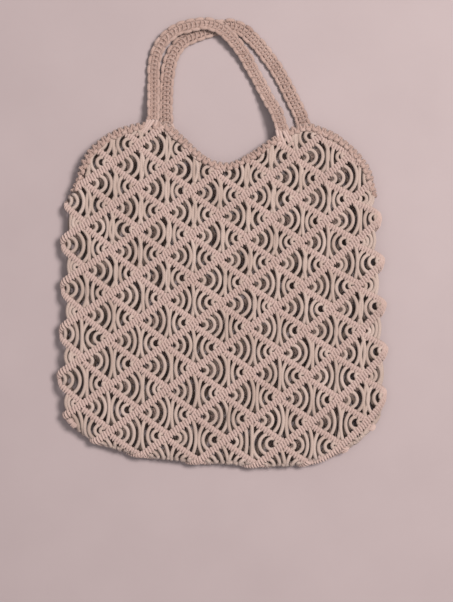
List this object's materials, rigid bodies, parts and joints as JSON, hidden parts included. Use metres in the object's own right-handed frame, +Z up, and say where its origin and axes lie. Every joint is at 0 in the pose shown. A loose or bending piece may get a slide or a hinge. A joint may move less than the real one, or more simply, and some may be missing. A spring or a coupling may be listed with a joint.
{
  "type": "macrame bag",
  "caption": "Openwork tote bag of knotted cotton cord, laid flat, with a diamond net body, a scooped knotted mouth and two flat knotted handles.",
  "frame": {"origin": "The middle of the bag's box on the surface that it lies on, under the middle of the net.", "axes": "+X to the right across the bag, +Y from the closed bottom to the handles, +Z up from the surface through both faces of the bag."},
  "size_m": [0.3312, 0.451, 0.0227],
  "materials": {
    "cotton_cord": "matte"
  },
  "bodies": {
    "root": {"front_net": "cotton_cord", "back_net": "cotton_cord", "front_rim": "cotton_cord", "back_rim": "cotton_cord", "front_handle": "cotton_cord", "back_handle": "cotton_cord"}
  },
  "joints": []
}
